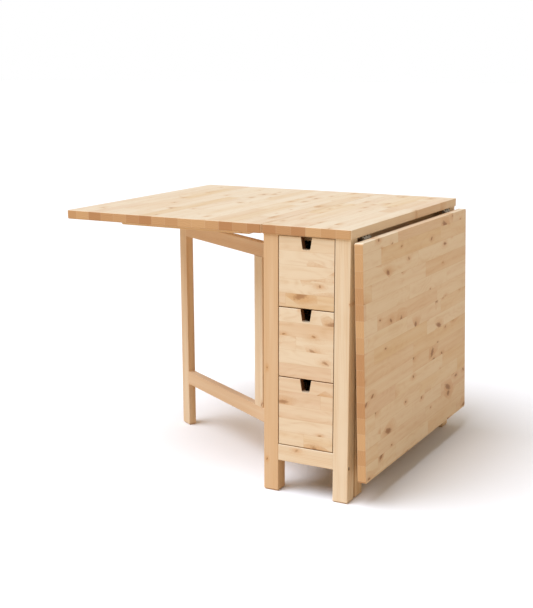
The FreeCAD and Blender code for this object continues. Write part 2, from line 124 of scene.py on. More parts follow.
def smooth(tree, value, low, high):
    """Rises smoothly from 0 at low to 1 at high."""
    inputs = {"Value": value, "From Min": low, "From Max": high}
    made = add(tree, "ShaderNodeMapRange", inputs, interpolation_type="SMOOTHSTEP")
    return made.outputs[0]


def mixed(tree, share, first, second):
    """A blend of two colours."""
    made = add(tree, "ShaderNodeMix", {0: share, 6: first, 7: second}, data_type="RGBA")
    return made.outputs[2]


def noise(tree, place, waves, detail=2.0):
    """Noise about 0.5, with its own number of waves in a metre along each axis."""
    scaled = add(tree, "ShaderNodeVectorMath", {0: place, 1: waves}, operation="MULTIPLY").outputs[0]
    inputs = {"Vector": scaled, "Scale": 1.0, "Detail": detail}
    return add(tree, "ShaderNodeTexNoise", inputs).outputs["Fac"]


def new_group(name, inputs, outputs):
    """An empty shader node group with its sockets. An input is (name, kind, value) and an output
    is (name, kind)."""
    group = bpy.data.node_groups.new(name, "ShaderNodeTree")
    for label, kind, value in inputs:
        socket = group.interface.new_socket(label, in_out="INPUT", socket_type="NodeSocket" + kind)
        socket.default_value = value
    for label, kind in outputs:
        group.interface.new_socket(label, in_out="OUTPUT", socket_type="NodeSocket" + kind)
    taken = group.nodes.new("NodeGroupInput").outputs
    given = group.nodes.new("NodeGroupOutput").inputs
    return group, taken, given


def put_out(group, given, *results):
    """Links a group's results to its outputs, in their order."""
    for socket, result in zip(given, results):
        group.links.new(result, socket)


# Staves vary in length, and each is a board from its own place in a tree. A seam of glue runs
# round each one.
STAVE_SHORTEST = 0.6
STAVE_LENGTH_SPREAD = 0.8
ROW_SEED_STEP = 17.0
ROW_START_SPREAD = 9.0
OWN_PLACE_SPREAD = (20.0, 0.08, 0.06)
SEAM_EDGES = (0.0002, 0.0009)


def glued_staves():
    """Splits a board into staves and gives each its own tone and its own place in the tree."""
    group, taken, given = new_group(
        "glued staves",
        [("Place", "Vector", (0, 0, 0)), ("Stave Width", "Float", STAVE_WIDTH),
         ("Stave Length", "Float", TOP_STAVE_LENGTH), ("Seed", "Float", 0.0)],
        [("Own Place", "Vector"), ("Tone", "Float"), ("Hue", "Float"), ("Seam", "Float")])
    split = add(group, "ShaderNodeSeparateXYZ", {0: taken["Place"]}).outputs
    across = calc(group, "DIVIDE", split[1], taken["Stave Width"])
    row = calc(group, "FLOOR", across)
    row_seed = calc(group, "ADD", row, calc(group, "MULTIPLY", taken["Seed"], ROW_SEED_STEP))
    row_chance = add(group, "ShaderNodeTexWhiteNoise", {"W": row_seed}, noise_dimensions="1D")
    chance = row_chance.outputs["Value"]
    length = calc(group, "MULTIPLY", taken["Stave Length"],
                  calc(group, "MULTIPLY_ADD", chance, STAVE_LENGTH_SPREAD, STAVE_SHORTEST))
    along = calc(group, "ADD", calc(group, "DIVIDE", split[0], length),
                 calc(group, "MULTIPLY", chance, ROW_START_SPREAD))
    stave = add(group, "ShaderNodeCombineXYZ",
                {0: row_seed, 1: calc(group, "FLOOR", along), 2: taken["Seed"]}).outputs[0]
    own = add(group, "ShaderNodeTexWhiteNoise", {"Vector": stave}, noise_dimensions="3D")
    shares = add(group, "ShaderNodeSeparateColor", {0: own.outputs["Color"]}).outputs
    side = calc(group, "SUBTRACT", calc(group, "FRACT", across), 0.5)
    spread = OWN_PLACE_SPREAD
    own_along = calc(group, "MULTIPLY_ADD", shares[0], spread[0], split[0])
    own_across = calc(group, "MULTIPLY_ADD", side, taken["Stave Width"],
                      calc(group, "MULTIPLY_ADD", shares[1], spread[1], -spread[1] / 2))
    own_through = calc(group, "MULTIPLY_ADD", shares[2], spread[2], split[2])
    place = add(group, "ShaderNodeCombineXYZ", {0: own_along, 1: own_across, 2: own_through})
    end = calc(group, "SUBTRACT", calc(group, "FRACT", along), 0.5)
    distances = []
    for offset, span in ((side, taken["Stave Width"]), (end, length)):
        inner = calc(group, "SUBTRACT", 0.5, calc(group, "ABSOLUTE", offset))
        distances.append(calc(group, "MULTIPLY", inner, span))
    nearest = calc(group, "MINIMUM", *distances)
    seam = calc(group, "SUBTRACT", 1.0, smooth(group, nearest, *SEAM_EDGES))
    put_out(group, given, place.outputs[0], own.outputs["Value"], shares[1], seam)
    return group


# One knot may stand in each cell of an uneven grid. The core and the spans are (length, width)
# in knot radii, and a core is drawn out by up to the middle one of its three numbers.
CELL_FLATNESS = 0.6
KNOT_SMALLEST = 0.35
KNOT_SIZE_SPREAD = 1.3
KNOT_TILT = 1.4
KNOT_STRAIGHTENING = 0.7
KNOT_CORE = (0.85, 1.6, 0.8)
KNOT_FADE = (0.1, 1.9)
KNOT_EDGE_WAVES = (180, 260, 180)
KNOT_HALO_SPAN = (5.0, 2.3)
GRAIN_BEND = 0.85
GRAIN_BEND_SPAN = (5.0, 3.0)


def small_knots():
    """Scatters small knots, and bends the grain round them."""
    group, taken, given = new_group(
        "small knots",
        [("Place", "Vector", (0, 0, 0)), ("Spacing", "Float", 0.07), ("Size", "Float", 0.004),
         ("Amount", "Float", 0.3)],
        [("Bent Place", "Vector"), ("Knot", "Float"), ("Halo", "Float")])
    pitch = add(group, "ShaderNodeCombineXYZ",
                {0: taken["Spacing"], 2: 1.0,
                 1: calc(group, "MULTIPLY", taken["Spacing"], CELL_FLATNESS)})
    cells = add(group, "ShaderNodeVectorMath", {0: taken["Place"], 1: pitch.outputs[0]},
                operation="DIVIDE").outputs[0]
    cell = add(group, "ShaderNodeTexVoronoi", {"Vector": cells, "Scale": 1.0},
               voronoi_dimensions="2D")
    away = add(group, "ShaderNodeVectorMath", {0: cells, 1: cell.outputs["Position"]},
               operation="SUBTRACT").outputs[0]
    away = add(group, "ShaderNodeVectorMath", {0: away, 1: pitch.outputs[0]},
               operation="MULTIPLY").outputs[0]
    shares = add(group, "ShaderNodeSeparateColor", {0: cell.outputs["Color"]}).outputs
    present = calc(group, "LESS_THAN", shares[0], taken["Amount"])
    drawn_out = calc(group, "DIVIDE", shares[0], taken["Amount"])
    largeness = calc(group, "MULTIPLY", shares[1], shares[1])
    radius = calc(group, "MULTIPLY", taken["Size"],
                  calc(group, "MULTIPLY_ADD", largeness, KNOT_SIZE_SPREAD, KNOT_SMALLEST))
    tilt = calc(group, "MULTIPLY", calc(group, "MULTIPLY_ADD", shares[2], 2 * KNOT_TILT, -KNOT_TILT),
                calc(group, "MULTIPLY_ADD", drawn_out, -KNOT_STRAIGHTENING, 1.0))
    turned = add(group, "ShaderNodeVectorRotate", {"Vector": away, "Angle": tilt},
                 rotation_type="Z_AXIS").outputs[0]
    rough = calc(group, "MULTIPLY_ADD", noise(group, taken["Place"], KNOT_EDGE_WAVES), 2.2, -0.1)

    def falloff(vector, length_share, width_share):
        """The distance from the knot, squared, in shares of its length and of its width. A
        number counts knot radii."""
        parts = add(group, "ShaderNodeSeparateXYZ", {0: vector}).outputs
        squares = []
        for part, share in ((parts[0], length_share), (parts[1], width_share)):
            if isinstance(share, float):
                share = calc(group, "MULTIPLY", radius, share)
            ratio = calc(group, "DIVIDE", part, share)
            squares.append(calc(group, "MULTIPLY", ratio, ratio))
        return calc(group, "ADD", *squares)

    def bell(squared):
        return calc(group, "MULTIPLY", present,
                    calc(group, "EXPONENT", calc(group, "MULTIPLY", squared, -1.0)))

    shortest, drawing, core_width = KNOT_CORE
    core_length = calc(group, "MULTIPLY", radius,
                       calc(group, "MULTIPLY_ADD", drawn_out, drawing, shortest))
    core = calc(group, "MULTIPLY", falloff(turned, core_length, core_width), rough)
    knot = calc(group, "MULTIPLY", present,
                calc(group, "SUBTRACT", 1.0, smooth(group, core, *KNOT_FADE)))
    halo = bell(calc(group, "MULTIPLY", falloff(away, *KNOT_HALO_SPAN), rough))
    split = add(group, "ShaderNodeSeparateXYZ", {0: taken["Place"]}).outputs
    sideways = add(group, "ShaderNodeSeparateXYZ", {0: away}).outputs[1]
    pushed = calc(group, "MULTIPLY", calc(group, "MULTIPLY", sideways, -GRAIN_BEND),
                  bell(falloff(away, *GRAIN_BEND_SPAN)))
    bent = add(group, "ShaderNodeCombineXYZ",
               {0: split[0], 1: calc(group, "ADD", split[1], pushed), 2: split[2]}).outputs[0]
    put_out(group, given, bent, knot, halo)
    return group


HEART_DEPTH = 0.03
RING_WIDTH = 0.0045
RING_SWAY = 0.05
SWAY_WAVES = (4.0, 14.0, 14.0)
STREAK_WAVES = (3.0, 60.0, 60.0)
PORE_WAVES = (26.0, 700.0, 700.0)


def growth_figure():
    """Growth rings about a heart that lies off the board, with broad streaks and fine pores."""
    group, taken, given = new_group(
        "growth figure",
        [("Place", "Vector", (0, 0, 0)), ("Ring Width", "Float", RING_WIDTH)],
        [("Rings", "Float"), ("Streaks", "Float"), ("Pores", "Float")])
    split = add(group, "ShaderNodeSeparateXYZ", {0: taken["Place"]}).outputs
    sway = noise(group, taken["Place"], SWAY_WAVES)
    depth = calc(group, "MULTIPLY_ADD", sway, RING_SWAY, calc(group, "ADD", split[2], HEART_DEPTH))
    square = calc(group, "ADD", calc(group, "MULTIPLY", depth, depth),
                  calc(group, "MULTIPLY", split[1], split[1]))
    turns = calc(group, "DIVIDE", calc(group, "SQRT", square), taken["Ring Width"])
    wave = calc(group, "SINE", calc(group, "MULTIPLY", turns, 2 * math.pi))
    rings = calc(group, "POWER", calc(group, "MULTIPLY_ADD", wave, 0.5, 0.5), 2.0)
    streaks = noise(group, taken["Place"], STREAK_WAVES, 3.0)
    pores = noise(group, taken["Place"], PORE_WAVES)
    put_out(group, given, rings, streaks, pores)
    return group


WEAR_WAVES = (7, 7, 7)
RUB_WAVES = (45, 190, 190)
SOIL_EDGES = (0.45, 0.75)


def handling_wear():
    """Broad, faint unevenness of the lacquer: how dull and how soiled it is."""
    group, taken, given = new_group(
        "handling wear", [("Place", "Vector", (0, 0, 0))],
        [("Dullness", "Float"), ("Soil", "Float")])
    broad = noise(group, taken["Place"], WEAR_WAVES, 3.0)
    fine = noise(group, taken["Place"], RUB_WAVES, 3.0)
    put_out(group, given, calc(group, "MULTIPLY", broad, fine), smooth(group, broad, *SOIL_EDGES))
    return group


WOOD_GROUPS = {"staves": glued_staves(), "knots": small_knots(), "figure": growth_figure(),
               "wear": handling_wear()}

PALE_BIRCH = tint(243, 226, 198)
GOLDEN_BIRCH = tint(228, 194, 142)
ROSY_BIRCH = tint(226, 190, 156)
LATE_WOOD = tint(206, 164, 112)
KNOT_HALO = tint(205, 148, 84)
KNOT_BROWN = tint(132, 78, 42)
END_PALE = tint(216, 175, 127)
END_DARK = tint(188, 138, 94)


def grain_turn(along, across):
    """The turn that takes a place on a piece to its place along, across and through the grain."""
    through = Vector(along).cross(Vector(across))
    return Matrix((along, across, through)).to_euler()


# A piece that isn't glued up is one stave, wider and longer than the piece.
ONE_STAVE = (2.8, 8.0)
FEW_KNOTS = (0.08, 0.004, 0.3, 0.6)
END_GRAIN_FACING = (0.55, 0.9)

# How strongly each thing shows. Staves and streaks shift the warmth up and down.
STAVE_CONTRAST = 0.62
STAVE_WARMTH_SHIFT = -0.1
STREAK_WARMTH_SHIFT = -0.55
WARMTH_RANGE = (-0.1, 1.1)
RING_STREAK_EDGES = (0.3, 0.7)
PORE_SHADE = 0.12
HALO_SHADE = 0.55
SEAM_SHADE = 0.28
CUT_RING_SHADE = 0.25
CUT_SEAM_SHADE = 0.2
SOIL_SHADE = 0.06


def birch(name, along, across, stave=ONE_STAVE, seed=0.0, warmth=0.2, shift=(0, 0, 0),
          knots=FEW_KNOTS, figure=0.3, ends=(END_PALE, END_DARK)):
    """Lacquered birch whose grain runs along one axis of the table. A stave is (width, length),
    knots are (spacing, size, amount, depth), and warmth goes from sapwood to heartwood."""
    material = bpy.data.materials.new(name)
    material.use_nodes = True
    tree = material.node_tree
    coat = tree.nodes["Principled BSDF"]
    turn = grain_turn(along, across)
    coordinates = add(tree, "ShaderNodeTexCoord").outputs
    place = add(tree, "ShaderNodeMapping",
                {"Vector": coordinates["Object"], "Rotation": turn, "Location": shift}).outputs[0]
    facing = add(tree, "ShaderNodeMapping", {"Vector": coordinates["Normal"], "Rotation": turn},
                 vector_type="VECTOR").outputs[0]
    facing_along = add(tree, "ShaderNodeSeparateXYZ", {0: facing}).outputs[0]
    end = smooth(tree, calc(tree, "ABSOLUTE", facing_along), *END_GRAIN_FACING)

    def wood(kind, inputs):
        return add(tree, "ShaderNodeGroup", inputs, node_tree=WOOD_GROUPS[kind]).outputs

    stave_width, stave_length = stave
    knot_spacing, knot_size, knot_amount, knot_depth = knots
    staves = wood("staves", {"Place": place, "Stave Width": stave_width,
                             "Stave Length": stave_length, "Seed": seed})
    knot = wood("knots", {"Place": staves["Own Place"], "Spacing": knot_spacing,
                          "Size": knot_size, "Amount": knot_amount})
    grain = wood("figure", {"Place": knot["Bent Place"]})
    wear = wood("wear", {"Place": place})

    # Each stave has its own warmth, and broad streaks of it run along the grain.
    warm = calc(tree, "MULTIPLY_ADD", staves["Tone"], STAVE_CONTRAST, warmth + STAVE_WARMTH_SHIFT)
    warm = calc(tree, "ADD", warm, calc(tree, "ADD", grain["Streaks"], STREAK_WARMTH_SHIFT))
    heart = mixed(tree, staves["Hue"], GOLDEN_BIRCH, ROSY_BIRCH)
    colour = mixed(tree, smooth(tree, warm, *WARMTH_RANGE), PALE_BIRCH, heart)
    streaky = smooth(tree, grain["Streaks"], *RING_STREAK_EDGES)
    late = calc(tree, "MULTIPLY", grain["Rings"], calc(tree, "MULTIPLY", streaky, figure))

    def laid_over(colour, share, strength, top):
        return mixed(tree, calc(tree, "MULTIPLY", share, strength), colour, top)

    colour = mixed(tree, late, colour, LATE_WOOD)
    colour = laid_over(colour, grain["Pores"], PORE_SHADE, LATE_WOOD)
    colour = laid_over(colour, knot["Halo"], HALO_SHADE, KNOT_HALO)
    colour = laid_over(colour, knot["Knot"], knot_depth, KNOT_BROWN)
    colour = laid_over(colour, staves["Seam"], SEAM_SHADE, LATE_WOOD)
    cut_tone = calc(tree, "MULTIPLY_ADD", grain["Rings"], CUT_RING_SHADE, staves["Tone"])
    cut = laid_over(mixed(tree, cut_tone, *ends), staves["Seam"], CUT_SEAM_SHADE, PALE_BIRCH)
    colour = mixed(tree, end, colour, cut)
    colour = laid_over(colour, wear["Soil"], SOIL_SHADE, KNOT_HALO)
    tree.links.new(colour, coat.inputs["Base Color"])

    # The lacquer is duller on end grain, and a little uneven all over.
    rough = calc(tree, "MULTIPLY_ADD", wear["Dullness"], 0.3, 0.34)
    rough = calc(tree, "MULTIPLY_ADD", end, 0.14, rough)
    tree.links.new(rough, coat.inputs["Roughness"])
    height = calc(tree, "MULTIPLY_ADD", grain["Rings"], 0.25,
                  calc(tree, "MULTIPLY", grain["Pores"], 0.8))
    height = calc(tree, "SUBTRACT", height, staves["Seam"])
    height = calc(tree, "ADD", height, calc(tree, "MULTIPLY", knot["Knot"], 0.5))
    bump = add(tree, "ShaderNodeBump", {"Height": height, "Strength": 0.35, "Distance": 0.00015})
    tree.links.new(bump.outputs[0], coat.inputs["Normal"])
    coat.inputs["Specular IOR Level"].default_value = 0.35
    coat.inputs["Coat Weight"].default_value = 0.12
    coat.inputs["Coat Roughness"].default_value = 0.3
    return material


def finish_nodes(material, *names):
    """Gives CAD nodes a material in place of their plain ones."""
    for name in names:
        nodes[name].data.materials.clear()
        nodes[name].data.materials.append(material)


AXIS_X = Vector((1, 0, 0))
AXIS_Y = Vector((0, 1, 0))
AXIS_Z = Vector((0, 0, 1))
TOP_STAVES = (STAVE_WIDTH, TOP_STAVE_LENGTH)

# A top's outermost stave starts at the top's own edge.
for board, seed, warmth in (("centre_top", 3.0, 0.1), ("left_leaf", 8.0, 0.08)):
    board_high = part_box(board)[1]
    finish_nodes(birch(board + "_birch", AXIS_Y, -AXIS_X, TOP_STAVES, seed=seed, warmth=warmth,
                       shift=(0, board_high.x, 0), knots=(0.09, 0.0055, 0.3, 0.32), figure=0.16),
                 board)

# The hanging leaf's staves lie one below the other, so the way across them points down.
HANG_ANGLE = math.radians(88.15)
down_leaf = Vector((math.cos(HANG_ANGLE), 0, -math.sin(HANG_ANGLE)))
hanging_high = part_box("right_leaf")[1]
finish_nodes(birch("right_leaf_birch", AXIS_Y, down_leaf, TOP_STAVES, seed=5.0, warmth=0.22,
                   shift=(0, hanging_high.z, 0), knots=(0.076, 0.0066, 0.27, 0.75), figure=0.2),
             "right_leaf")


# --- Carcass ----------------------------------------------------------------------------------
# Four solid birch posts stand at the corners. A glued-up panel runs along each side between
# them, a thin board divides the inside in the middle, and a low rail ties the posts at each end.

PANEL_STAVES = (0.06, 0.5)
for post, seed, warmth in (("front_right_post", 1.0, 0.1), ("front_left_post", 4.0, 0.64),
                           ("back_right_post", 6.0, 0.3), ("back_left_post", 9.0, 0.4)):
    finish_nodes(birch(post + "_birch", AXIS_Z, AXIS_X, seed=seed, warmth=warmth,
                       knots=(0.14, 0.003, 0.2, 0.6), figure=0.35), post)
finish_nodes(birch("panel_birch", AXIS_Y, AXIS_Z, PANEL_STAVES, seed=2.0, warmth=0.45,
                   knots=(0.12, 0.005, 0.3, 0.5)), "left_side_panel", "right_side_panel")
finish_nodes(birch("divider_birch", AXIS_X, AXIS_Z, PANEL_STAVES, seed=7.0, warmth=0.4),
             "centre_divider")
finish_nodes(birch("end_rail_birch", AXIS_X, AXIS_Z, seed=3.0, warmth=0.3,
                   knots=(0.12, 0.008, 0.5, 0.35), figure=0.25), "bottom_rails")
finish_nodes(birch("cross_bar_birch", AXIS_X, AXIS_Y, seed=11.0, warmth=0.45), "top_cross_bars")
finish_nodes(birch("runner_birch", AXIS_Y, AXIS_Z, seed=12.0, warmth=0.5), "drawer_runners")


# --- Drawers ----------------------------------------------------------------------------------
# Each front is glued from five level staves, one above the other, with a tapered finger notch
# in its top edge. Behind it are birch sides and a back, and a bottom slid into their grooves.

FRONT_STAVE_COUNT = 5
FRONT_STAVE_LENGTH = 0.55
DRAWER_BOX_STAVES = (0.07, 0.6)
# Every end-grain face of the drawer fronts, the finger notches' walls among them, takes a much
# darker brown than other end grain. This is partly the sawn end grain's own colour and partly
# painted shade, which stands in for the dim light inside the notches.
NOTCH_END_GRAIN_AND_PAINTED_SHADE = (tint(126, 84, 54), tint(102, 66, 42))
FRONT_WARMTH = {"lower": 0.24, "middle": 0.12, "upper": 0.12}
drawers = []
for end_name, end_seed in (("front", 20.0), ("back", 30.0)):
    for number, (level, warmth) in enumerate(FRONT_WARMTH.items()):
        drawer = f"{end_name}_{level}_drawer"
        drawers.append(drawer)
        front_low, front_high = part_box(drawer + "_front")
        staves = ((front_high.z - front_low.z) / FRONT_STAVE_COUNT, FRONT_STAVE_LENGTH)
        # The fronts' end grain gets the darker brown, partly painted shade for the notches.
        finish_nodes(birch(drawer + "_front_birch", AXIS_X, AXIS_Z, staves, seed=end_seed + number,
                           warmth=warmth, shift=(0, -front_low.z, 0),
                           knots=(0.075, 0.0075, 0.5, 0.5), figure=0.25, ends=NOTCH_END_GRAIN_AND_PAINTED_SHADE),
                     drawer + "_front")

finish_nodes(birch("drawer_side_birch", AXIS_Y, AXIS_Z, DRAWER_BOX_STAVES, seed=14.0, warmth=0.25),
             *[drawer + "_sides" for drawer in drawers])
finish_nodes(birch("drawer_back_birch", AXIS_X, AXIS_Z, DRAWER_BOX_STAVES, seed=15.0, warmth=0.25),
             *[drawer + "_back" for drawer in drawers])


def fibre_board(name):
    """Pale hardboard, with a smooth pressed face flecked with fibres."""
    material = bpy.data.materials.new(name)
    material.use_nodes = True
    tree = material.node_tree
    face = tree.nodes["Principled BSDF"]
    place = add(tree, "ShaderNodeTexCoord").outputs["Object"]
    flecks = noise(tree, place, (900, 1100, 900), 4.0)
    clouds = noise(tree, place, (25, 25, 25), 3.0)
    colour = mixed(tree, smooth(tree, flecks, 0.35, 0.7), tint(214, 190, 152), tint(176, 140, 98))
    colour = mixed(tree, calc(tree, "MULTIPLY", clouds, 0.3), colour, tint(228, 208, 174))
    tree.links.new(colour, face.inputs["Base Color"])
    tree.links.new(calc(tree, "MULTIPLY_ADD", flecks, 0.2, 0.5), face.inputs["Roughness"])
    bump = add(tree, "ShaderNodeBump", {"Height": flecks, "Strength": 0.3, "Distance": 0.0001})
    tree.links.new(bump.outputs[0], face.inputs["Normal"])
    return material


finish_nodes(fibre_board("drawer_bottom_hardboard"), *[drawer + "_bottom" for drawer in drawers])


# --- Gates and battens ------------------------------------------------------------------------
# Each gate is a leg and a short stile joined by two rails, all solid birch, and swings out on
# two butt hinges. Two battens and a rest pad, screwed on under each leaf, keep the leaf flat.

swing = math.radians(-joints["left_gate_swing"]["range_deg"][0])
left_gate_way = Vector((-math.sin(swing), math.cos(swing), 0))
for side, way, seed in (("left", left_gate_way, 40.0), ("right", -AXIS_Y, 50.0)):
    finish_nodes(birch(side + "_gate_leg_birch", AXIS_Z, way, seed=seed, warmth=0.42,
                       knots=(0.16, 0.0035, 0.2, 0.5), figure=0.35), side + "_gate_leg")
    finish_nodes(birch(side + "_gate_stile_birch", AXIS_Z, way, seed=seed + 1, warmth=0.18,
                       figure=0.35), side + "_gate_stile")
    finish_nodes(birch(side + "_gate_rail_birch", way, AXIS_Z, seed=seed + 2, warmth=0.62,
                       knots=(0.15, 0.004, 0.2, 0.5), figure=0.4),
                 side + "_gate_top_rail", side + "_gate_bottom_rail")
finish_nodes(birch("left_batten_birch", AXIS_X, AXIS_Y, seed=60.0, warmth=0.4),
             "left_leaf_battens")
finish_nodes(birch("right_batten_birch", down_leaf, AXIS_Y, seed=61.0, warmth=0.4),
             "right_leaf_battens")


# --- Hinges and bolts -------------------------------------------------------------------------
# Butt hinges of pressed steel carry the leaves and the gates, each with five knuckles on one
# pin. They, the socket-headed bolts through the posts and the barrel nuts are zinc plated.

ZINC_DARK = (150, 148, 144)
ZINC_LIGHT = (205, 204, 200)


def zinc_steel(name, brightness=1.0):
    """Zinc-plated steel, faintly clouded, and scuffed by tumbling."""
    material = bpy.data.materials.new(name)
    material.use_nodes = True
    tree = material.node_tree
    plate = tree.nodes["Principled BSDF"]
    place = add(tree, "ShaderNodeTexCoord").outputs["Object"]
    clouds = noise(tree, place, (160, 160, 160), 3.0)
    scuffs = noise(tree, place, (500, 2600, 900), 2.0)
    dark, light = [tint(*(value * brightness for value in shade))
                   for shade in (ZINC_DARK, ZINC_LIGHT)]
    colour = mixed(tree, smooth(tree, clouds, 0.3, 0.7), dark, light)
    tree.links.new(colour, plate.inputs["Base Color"])
    tree.links.new(calc(tree, "MULTIPLY_ADD", scuffs, 0.22, 0.24), plate.inputs["Roughness"])
    bump = add(tree, "ShaderNodeBump", {"Height": scuffs, "Strength": 0.2, "Distance": 0.00005})
    tree.links.new(bump.outputs[0], plate.inputs["Normal"])
    plate.inputs["Metallic"].default_value = 1.0
    return material


finish_nodes(zinc_steel("hinge_zinc"), "fixed_hinge_plates", "left_leaf_hinge_plates",
             "right_leaf_hinge_plates", "left_gate_hinge_plates", "right_gate_hinge_plates")
finish_nodes(zinc_steel("pin_steel", 0.85), "hinge_pins")
finish_nodes(zinc_steel("bolt_zinc", 0.95), "frame_bolts", "barrel_nuts")


# --- Wood screws ------------------------------------------------------------------------------
# Countersunk steel wood screws with a cross recess hold the hinges, the battens and the centre
# top. Each has a turned head, a threaded shank and a gimlet point, and sits flush.

SCREW_SIZES = {"Head Radius": 0.0031, "Head Depth": 0.0014, "Shank Radius": 0.0016,
               "Thread Pitch": 0.0016}
SCREW_CORE = 0.72
TIP_LENGTH = 2.0
TIP_END_RADIUS = 0.0001
RECESS_SPAN = 1.15
RECESS_WIDTH = 0.28
RECESS_DEPTHS = (1.0, 0.9)
HEAD_SIDES = 24
SHANK_SIDES = 16
THREAD_STEPS = 14
NEAR = 1e-6
END_BAND = 1e-4


def loose_parts(mesh):
    """The vertices of each loose part of a mesh."""
    waiting = set(mesh.verts)
    while waiting:
        part, edge = set(), [next(iter(waiting))]
        while edge:
            vertex = edge.pop()
            if vertex not in part:
                part.add(vertex)
                edge += [link.other_vert(vertex) for link in vertex.link_edges]
        waiting -= part
        yield part


def screw_places(node):
    """Where each screw of a CAD node has the middle of its head, which way it points, and its
    length. Each loose part of the node's mesh is one screw, and its wider end is the head."""
    mesh = bmesh.new()
    mesh.from_mesh(node.data)
    bmesh.ops.remove_doubles(mesh, verts=mesh.verts, dist=NEAR)
    places = []
    for part in loose_parts(mesh):
        points = np.array([vertex.co for vertex in part])
        centred = points - points.mean(0)
        axis = np.linalg.svd(centred, full_matrices=False)[2][0]
        heights = centred @ axis
        widths = [np.ptp(centred[abs(heights - end) < END_BAND], axis=0).max()
                  for end in (heights.min(), heights.max())]
        if widths[1] > widths[0]:
            axis = -axis
            heights = -heights
        head = centred[heights < heights.min() + END_BAND].mean(0) + points.mean(0)
        places.append((Vector(head), Vector(axis), round(float(np.ptp(heights)), 4)))
    mesh.free()
    return sorted(places, key=lambda place: tuple(place[0]))


def screw_tree(material):
    """Geometry nodes that put one screw at every point, pointing along the point's own way."""
    tree = bpy.data.node_groups.new("wood screws", "GeometryNodeTree")
    tree.interface.new_socket("Geometry", in_out="INPUT", socket_type="NodeSocketGeometry")
    for label in (*SCREW_SIZES, "Length"):
        tree.interface.new_socket(label, in_out="INPUT", socket_type="NodeSocketFloat")
    tree.interface.new_socket("Geometry", in_out="OUTPUT", socket_type="NodeSocketGeometry")
    taken = tree.nodes.new("NodeGroupInput").outputs
    given = tree.nodes.new("NodeGroupOutput").inputs

    def times(size, share):
        return calc(tree, "MULTIPLY", size, share)

    def moved(geometry, height):
        at = add(tree, "ShaderNodeCombineXYZ", {2: height}).outputs[0]
        return add(tree, "GeometryNodeTransform",
                   {"Geometry": geometry, "Translation": at}).outputs[0]

    # The head is turned, and two crossed bars are cut out of it for the driver.
    head = add(tree, "GeometryNodeMeshCone",
               {"Vertices": HEAD_SIDES, "Radius Top": taken["Shank Radius"],
                "Radius Bottom": taken["Head Radius"], "Depth": taken["Head Depth"]}).outputs[0]
    span = times(taken["Head Radius"], RECESS_SPAN)
    width = times(taken["Head Radius"], RECESS_WIDTH)
    cross = add(tree, "GeometryNodeMeshBoolean", operation="UNION")
    recessed = add(tree, "GeometryNodeMeshBoolean", {"Mesh 1": head}, operation="DIFFERENCE")
    for sides, depth in zip(((span, width), (width, span)), RECESS_DEPTHS):
        size = add(tree, "ShaderNodeCombineXYZ",
                   {0: sides[0], 1: sides[1], 2: times(taken["Head Depth"], depth)}).outputs[0]
        bar = add(tree, "GeometryNodeMeshCube", {"Size": size}).outputs[0]
        tree.links.new(bar, cross.inputs["Mesh 2"])
    tree.links.new(cross.outputs[0], recessed.inputs["Mesh 2"])

    # Below it the core runs straight to a pointed tip, and the thread winds round the core.
    core = times(taken["Shank Radius"], SCREW_CORE)
    tip_length = times(taken["Shank Radius"], TIP_LENGTH)
    below = calc(tree, "SUBTRACT", taken["Length"], tip_length)
    straight = calc(tree, "SUBTRACT", below, taken["Head Depth"])
    shank = add(tree, "GeometryNodeMeshCylinder",
                {"Vertices": SHANK_SIDES, "Radius": core, "Depth": straight}).outputs[0]
    shank_middle = calc(tree, "MULTIPLY_ADD", straight, 0.5, taken["Head Depth"])
    tip = add(tree, "GeometryNodeMeshCone",
              {"Vertices": SHANK_SIDES, "Radius Top": TIP_END_RADIUS, "Radius Bottom": core,
               "Depth": tip_length}).outputs[0]
    turns = calc(tree, "DIVIDE", straight, taken["Thread Pitch"])
    spiral = add(tree, "GeometryNodeCurveSpiral",
                 {"Resolution": THREAD_STEPS, "Rotations": turns, "Start Radius": core,
                  "End Radius": core, "Height": straight}).outputs[0]
    ridge = add(tree, "GeometryNodeCurvePrimitiveCircle",
                {"Resolution": 3,
                 "Radius": calc(tree, "SUBTRACT", taken["Shank Radius"], core)}).outputs[0]
    thread = add(tree, "GeometryNodeCurveToMesh",
                 {"Curve": spiral, "Profile Curve": ridge, "Fill Caps": True}).outputs[0]
    screw = add(tree, "GeometryNodeJoinGeometry")
    for piece in (recessed.outputs[0], moved(shank, shank_middle), moved(tip, below),
                  moved(thread, taken["Head Depth"])):
        tree.links.new(piece, screw.inputs[0])

    way = add(tree, "GeometryNodeInputNamedAttribute", {"Name": "way"}, data_type="FLOAT_VECTOR")
    turn = add(tree, "FunctionNodeAlignRotationToVector", {"Vector": way.outputs[0]}, axis="Z")
    placed = add(tree, "GeometryNodeInstanceOnPoints",
                 {"Points": taken["Geometry"], "Instance": screw.outputs[0],
                  "Rotation": turn.outputs[0]}).outputs[0]
    real = add(tree, "GeometryNodeRealizeInstances", {"Geometry": placed}).outputs[0]
    faced = add(tree, "GeometryNodeSetMaterial", {"Geometry": real, "Material": material})
    tree.links.new(faced.outputs[0], given[0])
    return tree


def screws_of_length(tree, places, length):
    """The screws of one length at a node's places, as a plain mesh."""
    chosen = [place for place in places if place[2] == length]
    points = bpy.data.meshes.new("screw_points")
    points.from_pydata([place[0] for place in chosen], [], [])
    way = points.attributes.new("way", "FLOAT_VECTOR", "POINT")
    way.data.foreach_set("vector", np.array([place[1] for place in chosen]).ravel())
    holder = bpy.data.objects.new("screw_points", points)
    bpy.context.scene.collection.objects.link(holder)
    modifier = holder.modifiers.new("screws", "NODES")
    modifier.node_group = tree
    sizes = {**SCREW_SIZES, "Length": length}
    for socket in tree.interface.items_tree:
        if socket.name in sizes:
            modifier[socket.identifier] = sizes[socket.name]
    evaluated = holder.evaluated_get(bpy.context.evaluated_depsgraph_get())
    mesh = bpy.data.meshes.new_from_object(evaluated)
    bpy.data.objects.remove(holder)
    return mesh


